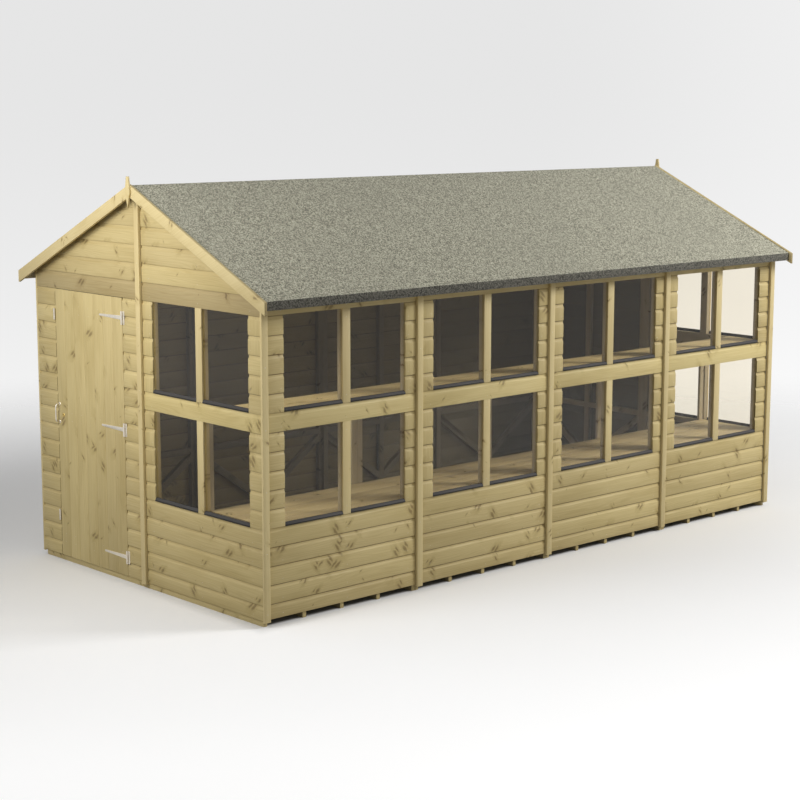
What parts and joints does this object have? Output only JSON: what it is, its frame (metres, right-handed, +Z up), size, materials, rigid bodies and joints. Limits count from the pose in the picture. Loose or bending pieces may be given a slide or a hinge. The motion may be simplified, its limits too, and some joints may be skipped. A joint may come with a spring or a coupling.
{
  "type": "potting shed",
  "caption": "Timber potting shed with a felted apex roof, windows along one long side and beside the door, a door on strap hinges with a rim lock and turn buttons, and a bench and shelf inside.",
  "frame": {"origin": "Centre of the footprint on the ground, under the floor joists.", "axes": "+Z up, +Y along the ridge from the door gable to the rear gable, +X towards the long side with windows."},
  "size_m": [2.654, 5.05, 2.6058],
  "materials": {
    "cladding_timber": "pressure treated pine, planed, greenish tan",
    "pale_trim_timber": "planed pine, pale",
    "framing_timber": "sawn pine",
    "inside_boards": "planed pine boards",
    "window_glass": "clear",
    "black_sill": "satin black extrusion",
    "roofing_felt": "mineral felt, grey green",
    "galvanised_steel": "bright galvanised",
    "lock_brass": "polished",
    "lock_steel": "black enamel"
  },
  "bodies": {
    "shed": {"bargeboards_front": "pale_trim_timber", "bargeboards_rear": "pale_trim_timber", "bench_boards": "inside_boards", "bench_frames": "framing_timber", "corner_strips": "cladding_timber", "eave_battens": "framing_timber", "finial_front": "pale_trim_timber", "finial_rear": "pale_trim_timber", "floor_boards": "inside_boards", "floor_joists": "framing_timber", "front_door_panel_boards": "cladding_timber", "front_door_panel_frame": "framing_timber", "front_window_panel_boards": "cladding_timber", "front_window_panel_frame": "framing_timber", "gable_cover_strips": "cladding_timber", "hinge_plates": "galvanised_steel", "lock_keep": "lock_steel", "mullion_covers": "cladding_timber", "plain_side_boards_1": "cladding_timber", "plain_side_boards_2": "cladding_timber", "plain_side_boards_3": "cladding_timber", "plain_side_boards_4": "cladding_timber", "plain_side_frame_1": "framing_timber", "plain_side_frame_2": "framing_timber", "plain_side_frame_3": "framing_timber", "plain_side_frame_4": "framing_timber", "rear_plain_panel_boards": "cladding_timber", "rear_plain_panel_frame": "framing_timber", "rear_window_panel_boards": "cladding_timber", "rear_window_panel_frame": "framing_timber", "roof_boards_left": "inside_boards", "roof_boards_right": "inside_boards", "roof_trusses": "framing_timber", "roofing_felt_left": "roofing_felt", "roofing_felt_right": "roofing_felt", "shelf_boards": "inside_boards", "shelf_brackets": "framing_timber", "side_cover_strips": "cladding_timber", "turn_button_pivots": "galvanised_steel", "window_panes": "window_glass", "window_side_boards_1": "cladding_timber", "window_side_boards_2": "cladding_timber", "window_side_boards_3": "cladding_timber", "window_side_boards_4": "cladding_timber", "window_side_frame_1": "framing_timber", "window_side_frame_2": "framing_timber", "window_side_frame_3": "framing_timber", "window_side_frame_4": "framing_timber", "window_sills": "black_sill"},
    "door": {"door_boards": "cladding_timber", "door_ledges": "framing_timber", "door_braces": "framing_timber", "hinge_straps": "galvanised_steel", "door_handle": "galvanised_steel", "lock_cylinder": "lock_brass", "lock_case": "lock_steel"},
    "lock_plug": {"lock_plug": "lock_brass"},
    "lock_bolt": {"lock_bolt": "lock_steel"},
    "turn_button_high": {"turn_button_high": "galvanised_steel"},
    "turn_button_low": {"turn_button_low": "galvanised_steel"}
  },
  "joints": [
    {"name": "door_swing", "type": "hinge", "parent": "shed", "child": "door", "pos_m": [-0.1975, -2.4563, 0.997], "axis": [0, 0, 1], "range_deg": [0, 165]},
    {"name": "lock_turn", "type": "hinge", "parent": "door", "child": "lock_plug", "pos_m": [-0.915, -2.45, 1.002], "axis": [0, -1, 0], "range_deg": [0, 90]},
    {"name": "bolt_slide", "type": "slide", "parent": "door", "child": "lock_bolt", "axis": [-1, 0, 0], "range_m": [0, 0.0198]},
    {"name": "turn_button_high_turn", "type": "hinge", "parent": "shed", "child": "turn_button_high", "pos_m": [-0.989, -2.4535, 1.671], "axis": [0, -1, 0], "range_deg": [-90, 90]},
    {"name": "turn_button_low_turn", "type": "hinge", "parent": "shed", "child": "turn_button_low", "pos_m": [-0.989, -2.4535, 0.313], "axis": [0, -1, 0], "range_deg": [-90, 90]}
  ],
  "couplings": [
    {"joint": "lock_turn", "follows": "bolt_slide", "rad_per_m": 79.333}
  ]
}
